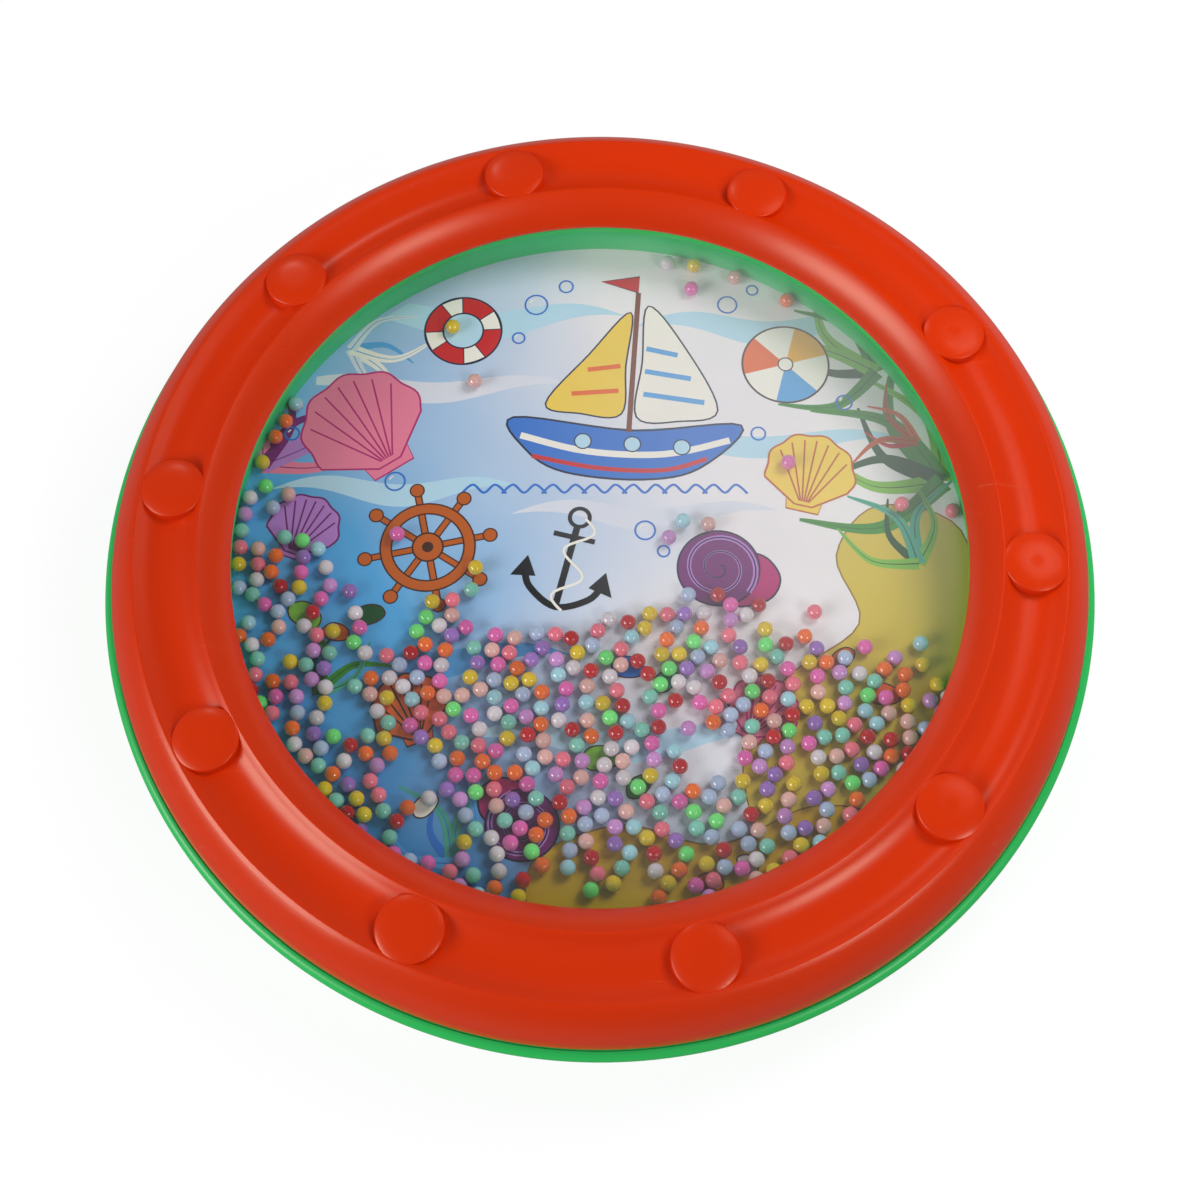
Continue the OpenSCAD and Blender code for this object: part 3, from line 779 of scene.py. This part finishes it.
def join(tree, value, socket):
    """Links another node's output to a socket, or sets the socket's own value."""
    if isinstance(value, bpy.types.NodeSocket):
        tree.links.new(value, socket)
    else:
        socket.default_value = value


def feed(tree, made, **values):
    """Links or sets the inputs of a node by name, with underscores for spaces."""
    for key, value in values.items():
        join(tree, value, made.inputs[key.replace("_", " ")])


def node(tree, kind, **values):
    """Node with its inputs linked or set, and its own settings, by name."""
    made = tree.nodes.new(kind)
    for key, value in values.items():
        if key in made.inputs:
            join(tree, value, made.inputs[key])
        else:
            setattr(made, key, value)
    return made


def math_node(tree, operation, a, b):
    made = tree.nodes.new("ShaderNodeMath")
    made.operation = operation
    join(tree, a, made.inputs[0])
    join(tree, b, made.inputs[1])
    return made.outputs[0]


def times(tree, a, b):
    return math_node(tree, "MULTIPLY", a, b)


def plus(tree, a, b):
    return math_node(tree, "ADD", a, b)


def mix_colour(tree, fac, a, b, blend="MIX"):
    made = tree.nodes.new("ShaderNodeMix")
    made.data_type = "RGBA"
    made.blend_type = blend
    join(tree, fac, made.inputs[0])
    join(tree, a, made.inputs[6])
    join(tree, b, made.inputs[7])
    return made.outputs[2]


def ramp(tree, value, low, high):
    """Value spread from 0 at low to 1 at high, and held there."""
    made = tree.nodes.new("ShaderNodeMapRange")
    feed(tree, made, Value=value, From_Min=low, From_Max=high)
    return made.outputs["Result"]


def object_place(tree):
    return tree.nodes.new("ShaderNodeTexCoord").outputs["Object"]


def noise(tree, place, scale, detail):
    return node(tree, "ShaderNodeTexNoise", Vector=place, Scale=scale, Detail=detail).outputs["Fac"]


def moulded_skin_group():
    """Moulded polypropylene: cloudy flow marks, fine grain, pale hair scratches and dust specks."""
    tree, ins, outs = new_group(
        "moulded_skin",
        {"Colour": (0.5, 0.5, 0.5, 1), "Worn Colour": (0.8, 0.8, 0.8, 1), "Cloud": 0.1, "Scratches": 0.3,
         "Gloss": 0.3},
        {"Colour": "NodeSocketColor", "Roughness": "NodeSocketFloat", "Height": "NodeSocketFloat"})
    place = object_place(tree)
    cloud = noise(tree, place, 28.0, 3.0)
    grain = noise(tree, place, 2600.0, 2.0)
    turned = node(tree, "ShaderNodeMapping", Vector=place, Rotation=(0.3, 0.2, 0.7), Scale=(30, 900, 200))
    hair = noise(tree, turned.outputs[0], 1.0, 2.0)
    across = node(tree, "ShaderNodeMapping", Vector=place, Rotation=(0.1, 0.4, 2.1), Scale=(40, 1100, 200))
    hair_two = noise(tree, across.outputs[0], 1.0, 2.0)
    patch = noise(tree, place, 60.0, 1.0)
    lines = math_node(tree, "MAXIMUM", ramp(tree, hair, 0.69, 0.76), ramp(tree, hair_two, 0.7, 0.77))
    lines = times(tree, lines, ramp(tree, patch, 0.5, 0.62))
    specks = node(tree, "ShaderNodeTexVoronoi", Vector=place, Scale=420.0, Randomness=1.0).outputs["Distance"]
    few = noise(tree, place, 190.0, 0.0)
    dots = times(tree, ramp(tree, specks, 0.11, 0.05), ramp(tree, few, 0.66, 0.72))
    marks = math_node(tree, "MAXIMUM", lines, dots)
    marks = times(tree, marks, ins.outputs["Scratches"])
    dark = mix_colour(tree, 1.0, ins.outputs["Colour"], (0.86, 0.8, 0.76, 1), "MULTIPLY")
    shade = times(tree, ramp(tree, cloud, 0.35, 0.7), ins.outputs["Cloud"])
    colour = mix_colour(tree, shade, ins.outputs["Colour"], dark)
    colour = mix_colour(tree, marks, colour, ins.outputs["Worn Colour"])
    rough = plus(tree, ins.outputs["Gloss"], times(tree, cloud, 0.08))
    rough = plus(tree, rough, times(tree, marks, 0.3))
    height = math_node(tree, "SUBTRACT", times(tree, grain, 0.4), marks)
    feed(tree, outs, Colour=colour, Roughness=rough, Height=height)
    return tree


def use_group(tree, group, **values):
    """Node of a shared group, with its inputs linked or set."""
    made = tree.nodes.new("ShaderNodeGroup")
    made.node_tree = group
    feed(tree, made, **values)
    return made


def wear(look, tree, shader):
    """Links the colour and the roughness of a shared group to a shader."""
    feed(tree, shader, Base_Color=look.outputs["Colour"], Roughness=look.outputs["Roughness"])


def moulded_plastic(name, skin, tint=(1, 1, 1), **values):
    """Opaque plastic with the moulded skin; tint colours its reflections."""
    material, tree, shader = new_material(name)
    look = use_group(tree, skin, **values)
    wear(look, tree, shader)
    bump = node(tree, "ShaderNodeBump", Height=look.outputs["Height"], Strength=0.12, Distance=0.00004)
    feed(tree, shader, Normal=bump.outputs[0], IOR=1.52, Specular_Tint=(*tint, 1))
    return material


def bead_skin_group():
    """Glossy ball plastic: each ball a little lighter or darker, with a soft cloud in its skin."""
    tree, ins, outs = new_group(
        "bead_skin",
        {"Colour": (0.5, 0.5, 0.5, 1), "Dark Colour": (0.4, 0.4, 0.4, 1), "Pale Colour": (0.6, 0.6, 0.6, 1),
         "Ball": 0.5},
        {"Colour": "NodeSocketColor", "Roughness": "NodeSocketFloat"})
    cloud = noise(tree, object_place(tree), 900.0, 1.0)
    base = mix_colour(tree, ins.outputs["Ball"], ins.outputs["Dark Colour"], ins.outputs["Pale Colour"])
    base = mix_colour(tree, times(tree, cloud, 0.25), base, ins.outputs["Colour"])
    feed(tree, outs, Colour=base, Roughness=plus(tree, 0.05, times(tree, cloud, 0.06)))
    return tree


def bead_plastic(name, skin, colour):
    """Plastic of one colour of beads; the skin gets a random number for each ball."""
    material, tree, shader = new_material(name)
    island = tree.nodes.new("ShaderNodeNewGeometry").outputs["Random Per Island"]
    dark = tuple(c * 0.78 for c in colour[:3]) + (1,)
    pale = tuple(min(1, c * 1.1 + 0.004) for c in colour[:3]) + (1,)
    wear(use_group(tree, skin, Colour=colour, Dark_Colour=dark, Pale_Colour=pale, Ball=island), tree, shader)
    feed(tree, shader, IOR=1.5, Coat_Weight=1.0, Coat_Roughness=0.04)
    return material


def fine_grain_group():
    """Roughness with a fine grain: the least there is, and how much the grain adds to it."""
    tree, ins, outs = new_group("fine_grain", {"Scale": 1500.0, "Detail": 1.0, "Least": 0.1, "Spread": 0.1},
                                {"Roughness": "NodeSocketFloat"})
    grain = noise(tree, object_place(tree), ins.outputs["Scale"], ins.outputs["Detail"])
    feed(tree, outs, Roughness=plus(tree, ins.outputs["Least"], times(tree, grain, ins.outputs["Spread"])))
    return tree


# Share of veil in the clear film: everywhere, in clouded places, and in a painted sheen, a whiter patch that
# stands in for a lamp's reflection round one place, in metres
VEIL = 0.013
VEIL_CLOUD = 0.012
PAINTED_SHEEN = 0.08
PAINTED_SHEEN_AT = (0.04, 0.03, 0.02)
PAINTED_SHEEN_CORE = 0.02
PAINTED_SHEEN_REACH = 0.068


def clear_film_material(grain):
    """Clear film: a thin whitish veil with a gloss, stronger in clouds, and whiter at the far right with a
    painted sheen where a lamp's reflection would lie.
    """
    material, tree, shader = new_material("clear_film")
    place = object_place(tree)
    cloud = noise(tree, place, 9.0, 3.0)
    away = node(tree, "ShaderNodeVectorMath", operation="DISTANCE")
    tree.links.new(place, away.inputs[0])
    away.inputs[1].default_value = PAINTED_SHEEN_AT
    # Painted sheen: the veil grows whiter round one place, standing in for a lamp's reflection on the film
    painted_sheen = times(tree, ramp(tree, away.outputs["Value"], PAINTED_SHEEN_REACH, PAINTED_SHEEN_CORE), PAINTED_SHEEN)
    veil = plus(tree, VEIL, times(tree, ramp(tree, cloud, 0.4, 0.65), VEIL_CLOUD))
    veil = plus(tree, veil, painted_sheen)
    fine = use_group(tree, grain, Scale=1400.0, Detail=1.0, Least=0.1, Spread=0.08).outputs["Roughness"]
    feed(tree, shader, Alpha=veil, Roughness=fine, Base_Color=(0.86, 0.88, 0.92, 1), IOR=1.5)
    return material


INKS = {
    "pale_water": (184, 222, 240), "mist": (222, 226, 236), "sand": (214, 190, 66),
    "gold_sand": (206, 164, 20), "dark_sand": (150, 112, 30), "boat_blue": (36, 116, 208),
    "sky_blue": (84, 166, 226), "navy": (18, 28, 62), "cream": (246, 242, 230), "pale_yellow": (244, 208, 62),
    "gold": (240, 174, 10), "orange": (236, 104, 18), "copper": (192, 92, 14), "brown": (124, 60, 20),
    "dark_brown": (72, 34, 16), "red": (206, 24, 28), "pink": (240, 128, 158), "magenta": (184, 26, 112),
    "purple": (118, 22, 112), "lilac": (186, 128, 206), "green": (56, 142, 40), "leaf": (128, 190, 62),
    "dark_green": (16, 84, 36), "teal": (70, 172, 148), "ink_black": (8, 8, 12)}


def ink_group():
    """Printer's ink: a faint grain of printed dots and slight patchiness."""
    tree, ins, outs = new_group("printed_ink", {"Ink": (0.5, 0.5, 0.5, 1), "Patchiness": 0.12},
                                {"Colour": "NodeSocketColor", "Roughness": "NodeSocketFloat"})
    place = object_place(tree)
    grain = noise(tree, place, 2200.0, 1.0)
    patch = noise(tree, place, 90.0, 2.0)
    shade = times(tree, ramp(tree, patch, 0.3, 0.7), ins.outputs["Patchiness"])
    shade = plus(tree, shade, times(tree, grain, 0.08))
    dark = mix_colour(tree, 1.0, ins.outputs["Ink"], (0.7, 0.72, 0.78, 1), "MULTIPLY")
    rough = plus(tree, 0.35, times(tree, grain, 0.1))
    feed(tree, outs, Colour=mix_colour(tree, shade, ins.outputs["Ink"], dark), Roughness=rough)
    return tree


def ink_material(name, group, colour):
    material, tree, shader = new_material("ink_" + name)
    wear(use_group(tree, group, Ink=srgb(*colour)), tree, shader)
    return material


def print_material(group):
    """Printed film: blue water on the left, pale lavender in the middle and on the right, with painted shade
    darkening both towards the near side.
    """
    material, tree, shader = new_material("print_film")
    place = object_place(tree)
    swirl = noise(tree, place, 14.0, 2.0)
    split = node(tree, "ShaderNodeSeparateXYZ", Vector=place)
    across = plus(tree, split.outputs["X"], times(tree, split.outputs["Y"], 0.25))
    across = plus(tree, across, times(tree, math_node(tree, "SUBTRACT", swirl, 0.5), 0.08))
    blue_to_pale = ramp(tree, across, -0.055, 0.02)
    # Painted shade: the colours darken towards the near side, where the near rim shades the print
    near = ramp(tree, split.outputs["Y"], -0.02, -0.075)
    water = mix_colour(tree, blue_to_pale, srgb(82, 172, 230), srgb(240, 236, 238))
    # deep holds the painted-shade colours of the near side, not deeper water
    deep = mix_colour(tree, blue_to_pale, srgb(52, 134, 200), srgb(202, 212, 226))
    base = mix_colour(tree, near, water, deep)
    wear(use_group(tree, group, Ink=base), tree, shader)
    return material


def steel_material(grain):
    material, tree, shader = new_material("screw_steel")
    fine = use_group(tree, grain, Scale=1500.0, Detail=2.0, Least=0.22, Spread=0.2).outputs["Roughness"]
    feed(tree, shader, Base_Color=srgb(196, 198, 202), Roughness=fine, Metallic=1.0)
    return material


# Stage

# Light of the white room: the same from all sides, what comes on top of it from near the horizon, by how much
# that is stronger at the far side, and how bright a reflection shows the room
ROOM_EVEN = 0.2
ROOM_LOW = 0.5
ROOM_FAR = 0.8
ROOM_MIRRORED = 0.03
# Brightness of the white floor, the share of it that a reflection shows at the far side, and the share of
# white in it near the drum, where the rest of it takes the shadow
FLOOR_GLOW = 1.06
FLOOR_MIRRORED = 0.25
FLOOR_WHITE = 0.82
# Floor, in metres: its radius, its drop below the drum's foot, the distances from the axis between which it
# fades into white, and how far in front and behind its share in reflections changes
FLOOR_R = 3.0
FLOOR_DROP = 0.0001
FLOOR_FADE = (0.15, 0.5)
FLOOR_SIDE = 0.15
# Distance of the lamps that stand outside the picture
LAMP_FAR = 0.9


def around(azimuth, elevation):
    """Place of a lamp in a direction from the drum, in degrees."""
    e = math.radians(elevation)
    return (*on_circle((0, 0), LAMP_FAR * math.cos(e), azimuth), LAMP_FAR * math.sin(e))


def softbox(name, place, size, glow):
    """Area lamp aimed at the drum; glow is the brightness of its face."""
    lamp = bpy.data.lights.new(name, "AREA")
    lamp.shape = "RECTANGLE"
    lamp.size, lamp.size_y = size
    lamp.energy = glow * math.pi * size[0] * size[1]
    thing = bpy.data.objects.new(name, lamp)
    thing.location = place
    thing.rotation_euler = (-Vector(place)).to_track_quat("-Z", "Y").to_euler()
    thing.visible_camera = False
    bpy.context.scene.collection.objects.link(thing)
    return thing


def seen_mask(tree):
    """1 for camera, glossy and transmission rays, so that what shows behind the drum is white."""
    path = tree.nodes.new("ShaderNodeLightPath")
    mask = math_node(tree, "MAXIMUM", path.outputs["Is Camera Ray"], path.outputs["Is Glossy Ray"])
    return math_node(tree, "MAXIMUM", mask, path.outputs["Is Transmission Ray"])


def build_world():
    world = bpy.data.worlds.new("studio")
    bpy.context.scene.world = world
    world.use_nodes = True
    tree = world.node_tree
    background = tree.nodes["Background"]
    path = tree.nodes.new("ShaderNodeLightPath")
    direction = tree.nodes.new("ShaderNodeTexCoord").outputs["Generated"]
    toward = node(tree, "ShaderNodeSeparateXYZ", Vector=direction)
    low = math_node(tree, "SUBTRACT", 1.0, toward.outputs["Z"])
    low = times(tree, times(tree, low, low), ROOM_LOW)
    far = plus(tree, 1.0, times(tree, toward.outputs["Y"], ROOM_FAR))
    lit = times(tree, path.outputs["Is Diffuse Ray"], plus(tree, times(tree, low, far), ROOM_EVEN))
    strength = plus(tree, lit, path.outputs["Is Camera Ray"])
    strength = plus(tree, strength, times(tree, path.outputs["Is Glossy Ray"], ROOM_MIRRORED))
    feed(tree, background, Color=(1, 1, 1, 1), Strength=strength)


def build_floor():
    """White paper under the drum, which fades into the white backdrop further out."""
    floor_mesh = bpy.data.meshes.new("floor")
    shape = bmesh.new()
    bmesh.ops.create_circle(shape, cap_ends=True, radius=FLOOR_R, segments=64)
    bmesh.ops.translate(shape, verts=shape.verts, vec=(0, 0, -FLOOR_DROP))
    shape.to_mesh(floor_mesh)
    shape.free()
    floor = bpy.data.objects.new("floor", floor_mesh)
    bpy.context.scene.collection.objects.link(floor)
    material, tree, shader = new_material("floor_paper")
    feed(tree, shader, Base_Color=(0.9, 0.9, 0.9, 1), Roughness=0.9)
    glow = tree.nodes.new("ShaderNodeEmission")
    mix = tree.nodes.new("ShaderNodeMixShader")
    place = object_place(tree)
    outward = node(tree, "ShaderNodeVectorMath", operation="LENGTH")
    tree.links.new(place, outward.inputs[0])
    white = times(tree, ramp(tree, outward.outputs["Value"], *FLOOR_FADE), 1 - FLOOR_WHITE)
    white = plus(tree, white, FLOOR_WHITE)
    tree.links.new(times(tree, seen_mask(tree), white), mix.inputs[0])
    split = node(tree, "ShaderNodeSeparateXYZ", Vector=place)
    far_side = ramp(tree, split.outputs["Y"], -FLOOR_SIDE, FLOOR_SIDE)
    shown = times(tree, times(tree, far_side, far_side), FLOOR_MIRRORED)
    mirrored = tree.nodes.new("ShaderNodeLightPath").outputs["Is Glossy Ray"]
    hidden = times(tree, mirrored, math_node(tree, "SUBTRACT", 1.0, shown))
    dimmed = math_node(tree, "SUBTRACT", 1.0, hidden)
    feed(tree, glow, Strength=times(tree, dimmed, FLOOR_GLOW))
    tree.links.new(shader.outputs[0], mix.inputs[1])
    tree.links.new(glow.outputs[0], mix.inputs[2])
    feed(tree, tree.nodes["Material Output"], Surface=mix.outputs[0])
    floor_mesh.materials.append(material)


def build_camera():
    """Camera fitted to the photograph: distance, height angle and aim were measured from the drum's rings."""
    distance = 0.29935
    height_angle = math.radians(69.03)
    focus = Vector((0, -0.014215, 0.0232))
    back = Vector((0, -math.cos(height_angle), math.sin(height_angle)))
    camera = bpy.data.cameras.new("camera")
    camera.lens, camera.sensor_width = 43.5, 36
    camera.clip_start = 0.01
    thing = bpy.data.objects.new("camera", camera)
    thing.location = focus + back * distance
    thing.rotation_euler = (math.pi / 2 - height_angle, 0, 0)
    bpy.context.scene.collection.objects.link(thing)
    bpy.context.scene.camera = thing


BEAD_COLOURS = {
    "red": (184, 14, 24), "orange": (236, 106, 28), "yellow": (218, 188, 30),
    "green": (112, 228, 120), "aqua": (126, 200, 182), "sky": (158, 208, 220),
    "periwinkle": (170, 188, 218), "purple": (152, 110, 190), "lilac": (202, 142, 206),
    "magenta": (224, 100, 174), "pink": (234, 114, 134), "peach": (224, 174, 166),
    "white": (216, 208, 214)}
# Colours whose beads leap from the bed, and the colour of each bead that lies alone
LEAPING = ("green", "pink", "periwinkle", "white")
LOOSE = {"white": "white", "peach": "peach", "magenta": "magenta", "pink": "pink", "sky": "sky",
         "rose": "magenta", "yellow": "yellow", "gold": "yellow"}
BEAD_SEED = 11


def main():
    bpy.context.scene.view_settings.view_transform = "Standard"
    build_camera()
    build_world()
    build_floor()
    softbox("left_box", around(207, 29), size=(0.56, 0.36), glow=6.6)
    softbox("right_box", around(317, 40), size=(0.3, 0.22), glow=7.4)
    far_panel = softbox("far_panel", (0.2, 0.12, 0.3), size=(0.16, 0.16), glow=7.8)
    far_panel.visible_glossy = False
    glint = softbox("glint_box", around(113, 42), size=(0.07, 0.07), glow=14.0)
    glint.visible_diffuse = False
    skin = moulded_skin_group()
    orange = moulded_plastic("rim_plastic", skin, tint=(1, 0.92, 0.74), Colour=srgb(219, 50, 0),
                             Worn_Colour=srgb(240, 140, 90), Cloud=0.25, Scratches=0.12, Gloss=0.25)
    green = moulded_plastic("shell_plastic", skin, Colour=srgb(42, 198, 94),
                            Worn_Colour=srgb(150, 225, 170), Cloud=0.2, Scratches=0.12, Gloss=0.3)
    # The hoop's plastic is a lighter, bluer copy of the shell's green with less cloud: painted light that
    # lifts the shade on the hoop's wall inside the chamber
    inside = moulded_plastic("hoop_plastic", skin, Colour=srgb(40, 200, 116),
                             Worn_Colour=srgb(150, 225, 170), Cloud=0.1, Scratches=0.1, Gloss=0.3)
    build_front_rim(orange)
    build_hoop(inside)
    build_ring("clear_head_ring_band", "clear_head_ring", RING_TOP, -1, green)
    build_ring("print_head_ring_band", "print_head_ring", RING_LOW, 1, green)
    grain = fine_grain_group()
    build_clear_head(clear_film_material(grain))
    printing = ink_group()
    build_print_head(print_material(printing))
    build_picture({name: ink_material(name, printing, colour) for name, colour in INKS.items()})
    build_back_shell(green)
    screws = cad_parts["rim_screws"].data
    screws.materials.clear()
    screws.materials.append(steel_material(grain))
    bead_skin = bead_skin_group()
    rng = random.Random(BEAD_SEED)
    for name, colour in BEAD_COLOURS.items():
        material = bead_plastic("bead_" + name, bead_skin, srgb(*colour))
        body = "leaping_beads" if name in LEAPING else "bead_bed"
        build_beads("beads_" + name, body, "bead_" + name, material, rng)
        for loose, tint in LOOSE.items():
            if tint == name:
                build_beads("loose_bead_" + loose, "loose_bead_" + loose, "bead_" + name, material, rng)


main()
